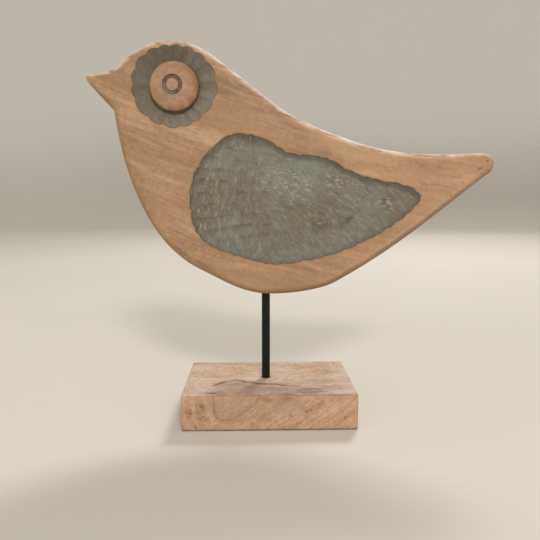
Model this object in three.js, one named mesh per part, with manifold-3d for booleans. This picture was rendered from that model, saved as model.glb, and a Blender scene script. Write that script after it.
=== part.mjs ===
import * as THREE from 'three';
import { mergeVertices } from 'three/addons/utils/BufferGeometryUtils.js';
import { RoundedBoxGeometry } from 'three/addons/geometries/RoundedBoxGeometry.js';
import Module from 'manifold-3d';

// A bird carved from one thick board, held by a thin rod over a wooden block.
// Millimetres, +Z up. The origin is the centre of the block's underside. The beak points
// to -X. The front face, with the fully carved wing and eye, looks to -Y.

const wasm = await Module();
wasm.setup();

// Block
const blockLength = 120;
const blockDepth = 80;
const blockHeight = 25;
const blockEdgeRound = 1.4;

// Rod: the length that shows between block and bird, and how far it goes into each
const rodDiameter = 6;
const rodShows = 64;
const rodInBlock = 19;
const rodInBird = 30;
const rodOffset = -2;
const boreClearance = 0.3;

// Board of the bird
const birdLength = 278.6;
const birdThickness = 28;
const edgeRound = 6;

// Wing recess
const wingDepth = 3.4;
const wingRimWidth = 4;
const scallopCount = 38;
const scallopDepth = 0.9;
const gougeRows = 10;
const gougesInRow = 12;
const gougeRidgeHeight = 0.9;
const gougeEndRidgeHeight = 0.5;

// Eye: a fluted ring round a disc that is left standing, with a ring groove for the pupil
const eyeRingWidth = 58;
const eyeRingHeight = 54.8;
const eyeRingDepth = 4.6;
const eyeDiscDiameter = 33;
const discEdgeRound = 1.5;
const ringMiddleShare = 0.62;
const discFootShare = 0.85;
const roundMiddleShare = 0.3;
const fluteDepth = 1;
const lobeDepth = 1.1;
const pupilOuterDiameter = 13.6;
const pupilInnerDiameter = 8;
const pupilGrooveDepth = 1.2;

// The back is carved with the same forms, shallower and without gouge marks or flutes
const backWingDepth = 2.4;
const backEyeDepth = 3;
const backPupilDepth = 1;

// Fineness of the facets
const outlineStep = 7;
const fewestSteps = 3;
const roundSteps = 4;
const stepsPerScallop = 4;
const stepsPerFlute = 5;
const backWingSteps = 72;
const backEyeSteps = 48;
const pupilSteps = 32;
const samplesAcross = [0, 0.3, 0.7];
const blockRoundSteps = 2;
const rodSides = 32;
const cutterMargin = 2;

// The bird's outline in thousandths of its length: to the right of the rod and above the keel.
// Each knot has its place, the handle that leaves it, the handle that reaches the next knot,
// and its share of the full edge rounding, which is slighter at the beak and the tail.
const outlineKnots = {
  beakTip: { at: [-429, 533], leave: [-425, 539], reach: [-381, 536], round: 0.15 },
  brow: { at: [-353, 560], leave: [-325, 586], reach: [-295, 619], round: 0.8 },
  crown: { at: [-234, 619], leave: [-186, 619], reach: [-148, 603], round: 0.9 },
  nape: { at: [-111, 572], leave: [-59, 534], reach: [-22, 504], round: 1 },
  back: { at: [31, 465], leave: [93, 425], reach: [151, 405], round: 1 },
  rump: { at: [229, 379], leave: [325, 348], reach: [438, 346], round: 1 },
  tailTop: { at: [538, 354], leave: [552, 354], reach: [568, 342], round: 0.6 },
  tailEnd: { at: [569, 330], leave: [569, 317], reach: [567, 309], round: 0.6 },
  tailLow: { at: [555, 302], leave: [430, 206], reach: [335, 116], round: 0.7 },
  bellyCorner: { at: [168, 25], leave: [133, 11], reach: [76, 0], round: 1 },
  keel: { at: [14, 0], leave: [-60, 0], reach: [-103, 32], round: 1 },
  flank: { at: [-168, 64], leave: [-225, 93], reach: [-275, 145], round: 1 },
  breast: { at: [-313, 232], leave: [-346, 303], reach: [-362, 387], round: 1 },
  chin: { at: [-370, 454], leave: [-392, 478], reach: [-417, 505], round: 0.9 },
  beakEnd: { at: [-429, 521], leave: [-431, 525], reach: [-431, 529], round: 0.15 },
};

// The wing's edge, in the same thousandths, from the front of the wing over its top
const wingKnots = [
  [-189, 249], [-178, 302], [-141, 358], [-89, 396], [-48, 399], [-2, 386],
  [60, 354], [151, 341], [206, 312], [272, 290], [329, 280], [372, 264],
  [387, 242], [368, 217], [336, 187], [251, 136], [165, 100], [63, 79],
  [10, 77], [-51, 92], [-132, 120], [-175, 159],
];

// The lines that the gouge rows start and end on, each from its lower to its upper end
const gougeRowsStart = [[-216, 43], [-216, 426]];
const gougeRowsEnd = [[408, 174], [408, 315]];

const eyeCentre = [-222, 510];
const pupilCentre = [-226, 514];

// The ridges between the hand-cut flutes, in degrees from the tail side, turning upward
const fluteRidges = [9, 38, 56, 77, 95, 112, 132, 156, 177, 197, 229, 254, 279, 297.5, 315, 341];

const keelHeight = blockHeight + rodShows;

function shareOfLength([right, up]) {
  const thousandth = birdLength / 1000;
  return new THREE.Vector2(rodOffset + right * thousandth, keelHeight + up * thousandth);
}

// A point of the board's carving, at a depth below the front (-1) or the back (1) face
function onFace(side, point, depth) {
  return new THREE.Vector3(point.x, side * (birdThickness / 2 - depth), point.y);
}

function signedVolume(vertices, triangles) {
  return triangles.reduce((sum, [a, b, c]) => {
    const cross = vertices[b].clone().cross(vertices[c]);
    return sum + vertices[a].dot(cross) / 6;
  }, 0);
}

function makeSolid(vertices, triangles) {
  const inside = signedVolume(vertices, triangles) < 0;
  const outward = inside ? triangles.map(([a, b, c]) => [a, c, b]) : triangles;
  return new wasm.Manifold(new wasm.Mesh({
    numProp: 3,
    vertProperties: new Float32Array(vertices.flatMap((vertex) => vertex.toArray())),
    triVerts: new Uint32Array(outward.flat()),
  }));
}

function solidFromGeometry(geometry) {
  geometry.deleteAttribute('normal');
  geometry.deleteAttribute('uv');
  const merged = mergeVertices(geometry);
  return new wasm.Manifold(new wasm.Mesh({
    numProp: 3,
    vertProperties: merged.getAttribute('position').array,
    triVerts: new Uint32Array(merged.getIndex().array),
  }));
}

function geometryFromSolid(solid) {
  const { vertProperties, triVerts } = solid.getMesh();
  const geometry = new THREE.BufferGeometry();
  geometry.setAttribute('position', new THREE.BufferAttribute(vertProperties, 3));
  geometry.setIndex(new THREE.BufferAttribute(triVerts, 1));
  geometry.computeVertexNormals();
  return geometry;
}

// The band of triangles between two rings with the same number of points
function bandTriangles(firstStart, secondStart, count) {
  return Array.from({ length: count }, (_, i) => {
    const next = (i + 1) % count;
    return [
      [firstStart + i, firstStart + next, secondStart + next],
      [firstStart + i, secondStart + next, secondStart + i],
    ];
  }).flat();
}

// A solid through a stack of rings. Its first and last rings are flat and get a cap.
function loftSolid(rings) {
  const count = rings[0].length;
  const lastStart = (rings.length - 1) * count;
  const bands = rings.slice(1).flatMap((_, i) => bandTriangles(i * count, (i + 1) * count, count));
  const flat = (ring) => ring.map((vertex) => new THREE.Vector2(vertex.x, vertex.z));
  const clockwise = THREE.ShapeUtils.isClockWise(flat(rings[0]));
  const capOf = (ring, start, turned) => THREE.ShapeUtils.triangulateShape(flat(ring), [])
    .map(([a, b, c]) => (turned ? [a, c, b] : [a, b, c]).map((corner) => corner + start));
  return makeSolid(rings.flat(), [
    ...capOf(rings[0], 0, !clockwise),
    ...bands,
    ...capOf(rings.at(-1), lastStart, clockwise),
  ]);
}

// A solid ring: the last ring of points joins the first again, so there are no caps
function closedLoftSolid(rings) {
  const count = rings[0].length;
  const bands = rings.flatMap((_, i) => {
    const next = (i + 1) % rings.length;
    return bandTriangles(i * count, next * count, count);
  });
  return makeSolid(rings.flat(), bands);
}

// Moves each point of a closed outline, which runs clockwise, inward by its own distance
function insetOutline(outline, distances) {
  const count = outline.length;
  const inwardOf = (from, to) => {
    const along = to.clone().sub(from).normalize();
    return new THREE.Vector2(along.y, -along.x);
  };
  return outline.map((point, i) => {
    const before = inwardOf(outline[(i + count - 1) % count], point);
    const after = inwardOf(point, outline[(i + 1) % count]);
    const inward = before.clone().add(after).normalize();
    const reach = distances[i] / Math.max(inward.dot(before), 0.5);
    return point.clone().addScaledVector(inward, reach);
  });
}

// The board's outline, clockwise from the beak tip, with the edge rounding at each point
function birdOutline() {
  const knots = Object.values(outlineKnots);
  const outline = [];
  const rounds = [];
  knots.forEach((knot, i) => {
    const next = knots[(i + 1) % knots.length];
    const places = [knot.at, knot.leave, knot.reach, next.at].map(shareOfLength);
    const curve = new THREE.CubicBezierCurve(...places);
    const steps = Math.max(fewestSteps, Math.round(curve.getLength() / outlineStep));
    curve.getSpacedPoints(steps).slice(0, steps).forEach((point, step) => {
      outline.push(point);
      rounds.push(edgeRound * THREE.MathUtils.lerp(knot.round, next.round, step / steps));
    });
  });
  return { outline, rounds };
}

function makeBoard() {
  const { outline, rounds } = birdOutline();
  const roundedHalf = (side) => Array.from({ length: roundSteps + 1 }, (_, step) => {
    const turn = (step / roundSteps) * (Math.PI / 2);
    const insets = rounds.map((round) => round * (1 - Math.sin(turn)));
    const depths = rounds.map((round) => round * (1 - Math.cos(turn)));
    return insetOutline(outline, insets).map((point, i) => onFace(side, point, depths[i]));
  });
  return loftSolid([...roundedHalf(-1), ...roundedHalf(1).reverse()]);
}

// The wing's edge as a smooth closed curve, in a number of even steps
function wingEdge(steps) {
  const places = wingKnots.map(shareOfLength);
  const curve = new THREE.CatmullRomCurve3(
    places.map((place) => new THREE.Vector3(place.x, place.y, 0)),
    true,
    'centripetal',
  );
  return curve.getSpacedPoints(steps).slice(0, steps)
    .map((point) => new THREE.Vector2(point.x, point.y));
}

// Fills the wing recess from above the face down to below its floor, with a sloping rim
function makeWingPlug(side, edge, scallops, depth, floorRoom) {
  const footInsets = scallops.map((scallop) => wingRimWidth + scallop);
  const rim = insetOutline(edge, scallops);
  const foot = insetOutline(edge, footInsets);
  return loftSolid([
    rim.map((point) => onFace(side, point, -cutterMargin)),
    rim.map((point) => onFace(side, point, 0)),
    foot.map((point) => onFace(side, point, depth)),
    foot.map((point) => onFace(side, point, depth + floorRoom)),
  ]);
}

// How far a place in a gouge cut stands above its deepest line, from 0 to 1 at its borders
function gougeRise(share) {
  return (2 * share - 1) ** 2;
}

// The gouge-cut floor: rows that start wide behind the breast and close up to the wing tip.
// The block above it reaches out of the board, so that a plug cut by it has this floor.
function makeGougeFloor(side) {
  const across = gougeRows * samplesAcross.length;
  const along = gougesInRow * 2;
  const [startLow, startHigh] = gougeRowsStart.map(shareOfLength);
  const [endLow, endHigh] = gougeRowsEnd.map(shareOfLength);
  const floor = [];
  for (let i = 0; i <= along; i += 1) {
    const low = startLow.clone().lerp(endLow, i / along);
    const high = startHigh.clone().lerp(endHigh, i / along);
    for (let j = 0; j <= across; j += 1) {
      const row = Math.floor(j / samplesAcross.length);
      const share = samplesAcross[j % samplesAcross.length];
      const staggered = (i + row) % 2;
      const ridges = gougeRidgeHeight * gougeRise(share) + gougeEndRidgeHeight * staggered;
      const place = low.clone().lerp(high, (row + share) / gougeRows);
      floor.push(onFace(side, place, wingDepth - ridges));
    }
  }
  const lidDepth = side * (birdThickness / 2 + cutterMargin * 2);
  const lid = floor.map((vertex) => vertex.clone().setY(lidDepth));
  const width = across + 1;
  const at = (i, j) => i * width + j;
  const triangles = [];
  const lidTriangles = [];
  for (let i = 0; i < along; i += 1) {
    for (let j = 0; j < across; j += 1) {
      triangles.push([at(i, j), at(i + 1, j), at(i + 1, j + 1)]);
      triangles.push([at(i, j), at(i + 1, j + 1), at(i, j + 1)]);
    }
  }
  triangles.forEach(([a, b, c]) => {
    lidTriangles.push([a + floor.length, c + floor.length, b + floor.length]);
  });
  const border = [];
  for (let i = 0; i < along; i += 1) border.push(at(i, 0));
  for (let j = 0; j < across; j += 1) border.push(at(along, j));
  for (let i = along; i > 0; i -= 1) border.push(at(i, across));
  for (let j = across; j > 0; j -= 1) border.push(at(0, j));
  const walls = border.flatMap((a, i) => {
    const b = border[(i + 1) % border.length];
    return [[b, a, a + floor.length], [b, a + floor.length, b + floor.length]];
  });
  return makeSolid([...floor, ...lid], [...triangles, ...lidTriangles, ...walls]);
}

function makeFrontWingCutter() {
  const steps = scallopCount * stepsPerScallop;
  const edge = wingEdge(steps);
  const shares = edge.map((_, i) => (i % stepsPerScallop) / stepsPerScallop);
  const scallops = shares.map((share) => scallopDepth * gougeRise(share));
  const plug = makeWingPlug(-1, edge, scallops, wingDepth, cutterMargin);
  return plug.intersect(makeGougeFloor(-1));
}

function makeBackWingCutter() {
  const edge = wingEdge(backWingSteps);
  const plain = edge.map(() => 0);
  return makeWingPlug(1, edge, plain, backWingDepth, 0);
}

// A ring groove from its profile: at each turn, pairs of a radius and a depth
function makeGrooveCutter(side, centre, turns, profileAt) {
  const middle = shareOfLength(centre);
  const rings = turns.map((turn) => profileAt(turn).map(([radius, depth]) => {
    const place = new THREE.Vector2(Math.cos(turn.angle), Math.sin(turn.angle));
    return onFace(side, place.multiplyScalar(radius).add(middle), depth);
  }));
  return closedLoftSolid(rings);
}

function evenTurns(steps) {
  return Array.from({ length: steps }, (_, i) => ({ angle: (i / steps) * 2 * Math.PI, across: 0.5 }));
}

// Turns round the eye that keep to the flutes, with the share across each flute
function fluteTurns() {
  return fluteRidges.flatMap((ridge, i) => {
    const next = fluteRidges[(i + 1) % fluteRidges.length] + (i + 1 < fluteRidges.length ? 0 : 360);
    return Array.from({ length: stepsPerFlute }, (_, step) => {
      const across = step / stepsPerFlute;
      return { angle: THREE.MathUtils.degToRad(THREE.MathUtils.lerp(ridge, next, across)), across };
    });
  });
}

// The ring falls from its lobed outer edge, over a middle and a foot, to the rounded disc
function makeEyeCutter(side, turns, depth, flute, lobe) {
  const discRadius = eyeDiscDiameter / 2;
  const meanRadius = (eyeRingWidth + eyeRingHeight) / 4;
  const widening = (eyeRingWidth - eyeRingHeight) / 4;
  const footRadius = discRadius + discEdgeRound;
  return makeGrooveCutter(side, eyeCentre, turns, ({ angle, across }) => {
    const rise = gougeRise(across);
    const outer = meanRadius + widening * Math.cos(2 * angle) - lobe * rise;
    const middle = (outer + footRadius) / 2;
    return [
      [outer + cutterMargin, -cutterMargin],
      [outer, 0],
      [middle, depth * ringMiddleShare - flute * rise],
      [footRadius, depth - (flute * rise) / 2],
      [discRadius, depth * discFootShare],
      [discRadius, discEdgeRound],
      [discRadius - discEdgeRound * roundMiddleShare, discEdgeRound * roundMiddleShare],
      [discRadius - discEdgeRound, 0],
      [discRadius - discEdgeRound, -cutterMargin],
    ];
  });
}

function makePupilCutter(side, depth) {
  const outer = pupilOuterDiameter / 2;
  const inner = pupilInnerDiameter / 2;
  const wall = (outer - inner) / 4;
  return makeGrooveCutter(side, pupilCentre, evenTurns(pupilSteps), () => [
    [outer, -cutterMargin],
    [outer, 0],
    [outer - wall, depth],
    [inner + wall, depth],
    [inner, 0],
    [inner, -cutterMargin],
  ]);
}

// An upright round bar or bore at the rod's place, between two heights
function makeUpright(radius, low, high) {
  const geometry = new THREE.CylinderGeometry(radius, radius, high - low, rodSides);
  geometry.rotateX(Math.PI / 2);
  geometry.translate(rodOffset, 0, (low + high) / 2);
  return solidFromGeometry(geometry);
}

const rodFoot = blockHeight - rodInBlock;
const rodTop = keelHeight + rodInBird;
const boreRadius = rodDiameter / 2 + boreClearance;

function makeBird() {
  const bore = makeUpright(boreRadius, keelHeight - cutterMargin, rodTop + boreClearance);
  return [
    makeFrontWingCutter(),
    makeBackWingCutter(),
    makeEyeCutter(-1, fluteTurns(), eyeRingDepth, fluteDepth, lobeDepth),
    makeEyeCutter(1, evenTurns(backEyeSteps), backEyeDepth, 0, 0),
    makePupilCutter(-1, pupilGrooveDepth),
    makePupilCutter(1, backPupilDepth),
    bore,
  ].reduce((solid, cutter) => solid.subtract(cutter), makeBoard());
}

function makeBlock() {
  const geometry = new RoundedBoxGeometry(
    blockLength,
    blockDepth,
    blockHeight,
    blockRoundSteps,
    blockEdgeRound,
  );
  geometry.translate(0, 0, blockHeight / 2);
  const bore = makeUpright(boreRadius, rodFoot - boreClearance, blockHeight + cutterMargin);
  return solidFromGeometry(geometry).subtract(bore);
}

function makeMesh(name, solid, color, roughness, metalness) {
  const material = new THREE.MeshStandardMaterial({ color, roughness, metalness });
  const mesh = new THREE.Mesh(geometryFromSolid(solid), material);
  mesh.name = name;
  return mesh;
}

const sculpture = new THREE.Group();
sculpture.add(makeMesh('bird', makeBird(), 0xac8561, 0.7, 0));
sculpture.add(makeMesh('rod', makeUpright(rodDiameter / 2, rodFoot, rodTop), 0x141916, 0.35, 0.5));
sculpture.add(makeMesh('block', makeBlock(), 0xbea58f, 0.75, 0));

export default sculpture;
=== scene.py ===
import math

import bpy
import numpy as np
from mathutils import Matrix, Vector
from mathutils.geometry import delaunay_2d_cdt


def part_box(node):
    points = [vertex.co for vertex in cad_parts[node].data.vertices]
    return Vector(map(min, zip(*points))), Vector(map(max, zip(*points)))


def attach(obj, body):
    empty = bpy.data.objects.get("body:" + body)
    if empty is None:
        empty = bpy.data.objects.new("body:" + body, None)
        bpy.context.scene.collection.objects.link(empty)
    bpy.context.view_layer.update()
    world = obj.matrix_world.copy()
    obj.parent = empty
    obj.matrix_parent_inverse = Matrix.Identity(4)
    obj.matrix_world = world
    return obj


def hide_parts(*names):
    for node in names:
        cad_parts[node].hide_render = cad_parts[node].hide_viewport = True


# A carved wooden bird on a rod and block. Shapes are worked out in millimetres, in the
# frame's axes, and become metres when a mesh is made.

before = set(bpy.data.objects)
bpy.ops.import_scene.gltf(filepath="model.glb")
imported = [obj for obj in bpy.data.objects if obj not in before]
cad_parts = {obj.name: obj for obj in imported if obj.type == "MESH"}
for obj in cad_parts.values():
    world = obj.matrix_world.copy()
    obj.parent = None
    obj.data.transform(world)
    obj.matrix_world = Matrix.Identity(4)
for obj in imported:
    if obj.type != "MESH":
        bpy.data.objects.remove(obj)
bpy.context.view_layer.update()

MM = 0.001
SEED = 20


def box_mm(node):
    """The lowest and highest corner of a node, in millimetres."""
    low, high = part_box(node)
    return np.array(low) / MM, np.array(high) / MM


block_low, block_high = box_mm("block")
bird_low, bird_high = box_mm("bird")
rod_low, rod_high = box_mm("rod")

BIRD_LENGTH = bird_high[0] - bird_low[0]
HALF_BOARD = bird_high[1]
KEEL_HEIGHT = bird_low[2]
ROD_OFFSET = (rod_low[0] + rod_high[0]) / 2
ROD_RADIUS = (rod_high[0] - rod_low[0]) / 2

# Board
EDGE_ROUND = 6.0
OUTLINE_STEP = 1.2
STEPS_PER_SPAN = 60
RIM_TURN = 62.0
EDGE_TURNS = (48, 34, 20, 8)
WALL_TURNS = (70.0, 80.0, 90.0)
WALL_ROWS = 7
WOOD_SPACING = 2.0
CLEARANCE = 0.45
JITTER = 0.12
LOWER_EDGE_WIDTH = 4.2
LOWER_EDGE_TOP = 178.0

# Wing recess, cut in upright rows at the left and in loose cuts elsewhere
WING_RIM = 5.4
RIM_BLEND = 0.25
STEPS_PER_WING_SPAN = 40
SCALLOP_PERIOD = 10.5
SCALLOP_DEPTH = 0.9
ROW_SLOPES = (0.14, 0.12, 0.1, 0.09, 0.08, 0.03, -0.02, -0.08, -0.13, -0.18, -0.2)
ROWS_FROM = 113.0
ROWS_LEFT = -62
ROWS_MIDDLE = -45
ROWS_RIGHT = 6
ROW_HEIGHT = 8.5
ROW_SHIFT = 4
ROW_CUT_WIDTH = 7.8
ROW_CUT_HALF_LENGTH = 5.4
ROW_CUT_RADII = (20, 30)
ROW_CUT_FALLS = (0.015, 0.085)
LOOSE_CUT_STEP = 6.6
LOOSE_CUT_HALF_LENGTH = 6.5
LOOSE_CUT_RADII = (14, 24)
LOOSE_CUT_FALL = 0.02
LOOSE_CUTS_ALONG = (-2, 112)
LOOSE_CUTS_UP = (104, 200)
UPPER_CUTS_FROM = 150
UPPER_CUT_TURNS = (-75, 20)
LOWER_CUT_TURNS = (-60, -5)
FULL_FALL = 0.5

# Eye
EYE_RING_WIDTH = 58.0
EYE_RING_HEIGHT = 54.8
DISC_RADIUS = 16.5
DISC_ROUND = 1.6
FOOT_RADIUS = DISC_RADIUS + 0.8
DISC_SPACING = 1.3
PUPIL_OUTER = 6.8
PUPIL_INNER = 4.0
PUPIL_MIDDLE = (PUPIL_OUTER + PUPIL_INNER) / 2
PUPIL_HALF = (PUPIL_OUTER - PUPIL_INNER) / 2

# The two faces. The back is carved shallower and plainer, with less of the wing's grey.
FRONT = {
    "plain": False, "wing_depth": 3.3, "eye_depth": 4.4, "pupil_depth": 1.1, "flute": 1.0, "lobe": 1.55,
    "grey": 1.0, "ring_steps": 208, "wing_step": 0.7, "wing_spacing": 0.72,
}
BACK = {
    "plain": True, "wing_depth": 2.3, "eye_depth": 2.9, "pupil_depth": 1.0, "flute": 0.0, "lobe": 0.0,
    "grey": 0.6, "ring_steps": 120, "wing_step": 1.6, "wing_spacing": 1.7,
}

# The values that the bird's finishes read at each point, as they are on the side wall
WALL_VALUES = {
    "ridge": 0, "tone_and_shade": 0.5, "carved_gap": 30, "in_wing": 0, "disc": 0, "disc_stain": 0, "edge_shade": 0,
    "edge_highlight": 0,
}

# The bird's outline in thousandths of its length, to the right of the rod and above the
# keel: each knot's place, the handle leaving it, the handle reaching the next knot, and its
# share of the full edge rounding.
OUTLINE_KNOTS = (
    ((-429, 533), (-425, 539), (-381, 536), 0.15),
    ((-353, 560), (-325, 586), (-295, 619), 0.8),
    ((-234, 619), (-186, 619), (-148, 603), 0.9),
    ((-111, 572), (-59, 534), (-22, 504), 1.0),
    ((31, 465), (93, 425), (151, 405), 1.0),
    ((229, 379), (325, 348), (438, 346), 1.0),
    ((538, 354), (552, 354), (568, 342), 0.6),
    ((569, 330), (569, 317), (567, 309), 0.6),
    ((555, 302), (430, 206), (335, 116), 0.7),
    ((168, 25), (133, 11), (76, 0), 1.0),
    ((14, 0), (-60, 0), (-103, 32), 1.0),
    ((-168, 64), (-225, 93), (-275, 145), 1.0),
    ((-313, 232), (-346, 303), (-362, 387), 1.0),
    ((-370, 454), (-392, 478), (-417, 505), 0.9),
    ((-429, 521), (-431, 525), (-431, 529), 0.15),
)

WING_KNOTS = (
    (-189, 249), (-178, 302), (-141, 358), (-89, 396), (-48, 399), (-2, 386),
    (60, 354), (151, 341), (206, 312), (272, 290), (329, 280), (372, 264),
    (387, 242), (368, 217), (336, 187), (251, 136), (165, 100), (63, 79),
    (10, 77), (-51, 92), (-132, 120), (-175, 159),
)

EYE_CENTRE = (-222, 510)
PUPIL_CENTRE = (-226, 514)

# The ridges between the flutes, in degrees from the tail side, turning upward
FLUTE_RIDGES = (9, 38, 56, 77, 95, 112, 132, 156, 177, 197, 229, 254, 279, 297.5, 315, 341)


def share_of_length(knots):
    """Places given in thousandths of the bird's length, in millimetres."""
    places = np.atleast_2d(np.array(knots, float)) * BIRD_LENGTH / 1000
    return places + (ROD_OFFSET, KEEL_HEIGHT)


eye_centre = share_of_length(EYE_CENTRE)[0]
pupil_centre = share_of_length(PUPIL_CENTRE)[0]


def share(value):
    """The value, held between 0 and 1."""
    return np.clip(value, 0, 1)


def away_from(points, centre):
    """The distance of each point from a place."""
    return np.linalg.norm(points - centre, axis=1)


def even_steps(line, step):
    """A closed line as evenly spaced points, with the place of each along the old points."""
    closed = np.vstack([line, line[:1]])
    lengths = np.linalg.norm(np.diff(closed, axis=0), axis=1)
    along = np.concatenate([[0], np.cumsum(lengths)])
    count = int(round(along[-1] / step))
    wanted = np.linspace(0, along[-1], count, endpoint=False)
    points = np.stack([np.interp(wanted, along, closed[:, k]) for k in (0, 1)], 1)
    return points, np.interp(wanted, along, np.arange(len(closed)))


def at_places(places, values):
    """The values of a closed line's points at places between them."""
    return np.interp(places, np.arange(len(values) + 1), np.append(values, values[0]))


def bird_outline():
    """The board's outline, clockwise from the beak, and the edge rounding at each point."""
    t = np.linspace(0, 1, STEPS_PER_SPAN, endpoint=False)[:, None]
    rest = 1 - t
    line, rounds = [], []
    for knot, following in zip(OUTLINE_KNOTS, OUTLINE_KNOTS[1:] + OUTLINE_KNOTS[:1]):
        a, b, c, d = share_of_length((knot[0], knot[1], knot[2], following[0]))
        line.append(rest**3 * a + 3 * rest**2 * t * b + 3 * rest * t**2 * c + t**3 * d)
        rounds.append(EDGE_ROUND * (knot[3] + (following[3] - knot[3]) * t[:, 0]))
    points, places = even_steps(np.vstack(line), OUTLINE_STEP)
    return points, at_places(places, np.concatenate(rounds))


def wing_line(step):
    """The wing's edge as a smooth closed curve through its knots, without scallops."""
    knots = share_of_length(WING_KNOTS)
    before, after, beyond = (np.roll(knots, -k, 0) for k in (-1, 1, 2))
    spans = [np.linalg.norm(b - a, axis=1)[:, None] ** 0.5
             for a, b in ((before, knots), (knots, after), (after, beyond))]
    speed = (after - knots) / spans[1]
    leave = (knots - before) / spans[0] - (after - before) / (spans[0] + spans[1]) + speed
    reach = speed - (beyond - knots) / (spans[1] + spans[2]) + (beyond - after) / spans[2]
    t = np.linspace(0, 1, STEPS_PER_WING_SPAN, endpoint=False)[:, None]
    line = []
    for i, start in enumerate(knots):
        out, into = leave[i] * spans[1][i], reach[i] * spans[1][i]
        line.append((2 * t**3 - 3 * t**2 + 1) * start + (t**3 - 2 * t**2 + t) * out
                    + (3 * t**2 - 2 * t**3) * after[i] + (t**3 - t**2) * into)
    return even_steps(np.vstack(line), step)[0]


def inset(line, distances):
    """Moves each point of a closed clockwise line inward by its own distance."""
    ahead = np.roll(line, -1, 0) - line
    ahead /= np.linalg.norm(ahead, axis=1)[:, None]
    inward = np.stack([ahead[:, 1], -ahead[:, 0]], 1)
    middle = inward + np.roll(inward, 1, 0)
    middle /= np.linalg.norm(middle, axis=1)[:, None]
    stretch = 1 / np.maximum((middle * inward).sum(1), 0.5)
    return line + middle * (np.asarray(distances) * stretch)[:, None]


def rounding_row(outline, rounds, turn):
    """A line on the rounded edge, where it has turned by some degrees, and its depth."""
    turn = math.radians(turn)
    return inset(outline, rounds * (1 - math.sin(turn))), rounds * (1 - math.cos(turn))


def scalloped(line):
    """The line bitten into short outward arcs, as separate cuts of a gouge leave it."""
    count = round(len(line) * np.linalg.norm(line[1] - line[0]) / SCALLOP_PERIOD)
    even = np.arange(len(line)) / len(line) * count
    place = even + 0.22 * np.sin(even * 2.1) + 0.16 * np.sin(even * 3.7 + 1)
    uneven = 1 + 0.35 * np.sin(np.floor(place) * 2.4)
    ragged = 0.16 * smooth_noise(line, 2.6, SEED + 15)
    return inset(line, SCALLOP_DEPTH * (2 * (place % 1) - 1) ** 2 * uneven + ragged)


def in_chunks(function, points, size=3000):
    """Runs a function over slices of points, to keep the arrays small."""
    return np.concatenate([function(points[i:i + size]) for i in range(0, len(points), size)])


def distance_to(points, line, closed=True):
    """The distance of each point to a line, and the place there, counted in the line's points."""
    starts = line if closed else line[:-1]
    ahead = (np.roll(line, -1, 0) - line)[:len(starts)]
    squares = (ahead**2).sum(1)

    def nearest(some):
        offset = some[:, None] - starts[None]
        along = share((offset * ahead).sum(2) / squares)
        gap = ((offset - along[..., None] * ahead) ** 2).sum(2)
        best = gap.argmin(1)
        row = np.arange(len(some))
        return np.stack([np.sqrt(gap[row, best]), best + along[row, best]], 1)

    return in_chunks(nearest, points).T


def is_inside(points, line):
    """Whether each point lies inside a closed line."""
    ends = np.roll(line, -1, 0)
    rise = np.where(ends[:, 1] == line[:, 1], 1, ends[:, 1] - line[:, 1])

    def crossings(some):
        x, z = some[:, :1], some[:, 1:]
        spans = (line[:, 1] > z) != (ends[:, 1] > z)
        at = line[:, 0] + (z - line[:, 1]) / rise * (ends[:, 0] - line[:, 0])
        return (spans & (x < at)).sum(1) % 2 == 1

    return in_chunks(crossings, points)


def smooth_noise(points, period, seed, layers=3, waves=9):
    """Soft waves of a given period, from -1 to 1, over points in any number of axes."""
    random = np.random.default_rng(seed)
    total = np.zeros(len(points))
    for layer in range(layers):
        for _ in range(waves):
            direction = random.normal(size=points.shape[1])
            direction *= 2 * math.pi / (period / 1.8**layer) / np.linalg.norm(direction)
            total += np.sin(points @ direction + random.uniform(0, 2 * math.pi)) / 1.8**layer
    return total / waves


# Carving depths on a face


def round_eye(points):
    """Offset, radius and angle of each point from the middle of the eye."""
    offset = points - eye_centre
    return offset, np.linalg.norm(offset, axis=1), np.arctan2(offset[:, 1], offset[:, 0])


def flute_share(angles):
    """How far across its flute each angle lies, from 0 at one ridge to 1 at the next."""
    ridges = np.array(FLUTE_RIDGES, float)
    borders = np.append(ridges, ridges[0] + 360)
    turned = (np.degrees(angles) - ridges[0]) % 360 + ridges[0]
    index = np.clip(np.searchsorted(borders, turned, side="right") - 1, 0, len(ridges) - 1)
    return (turned - borders[index]) / (borders[index + 1] - borders[index])


def flute_rise(angles):
    """How high each angle lies in its flute, from 0 in its middle to 1 on a ridge."""
    return (2 * flute_share(angles) - 1) ** 2


def eye_edge(angles, lobe):
    """The radius of the eye ring's outer edge at each angle."""
    mean = (EYE_RING_WIDTH + EYE_RING_HEIGHT) / 4
    widening = (EYE_RING_WIDTH - EYE_RING_HEIGHT) / 4
    uneven = 0.35 * np.sin(3 * angles + 0.6) + 0.25 * np.sin(5 * angles + 2)
    return mean + widening * np.cos(2 * angles) + uneven - lobe * flute_rise(angles)


def eye_depth(points, side):
    """Depth of the eye ring, which falls from its lobed edge to a foot beside the disc."""
    _, radius, angles = round_eye(points)
    edge = eye_edge(angles, side["lobe"])
    out = share((radius - FOOT_RADIUS) / (edge - FOOT_RADIUS))
    hollow = side["flute"] * (1 - flute_rise(angles))
    scoop = hollow * (np.sin(np.pi * share(out * 1.05)) ** 0.7 + 0.5 * (1 - out))
    ring = side["eye_depth"] * (1 - out) ** 1.15 + scoop
    wall = share((FOOT_RADIUS - radius) / (FOOT_RADIUS - DISC_RADIUS))
    inner = share((radius - (DISC_RADIUS - DISC_ROUND)) / DISC_ROUND)
    rim = DISC_ROUND * (1 - np.sqrt(1 - inner**2))
    standing = rim + (ring - DISC_ROUND) * (1 - wall)
    depths = np.where(radius >= FOOT_RADIUS, ring, np.where(radius > DISC_RADIUS, standing, rim))
    return np.where(radius < edge, depths, 0)


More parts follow.
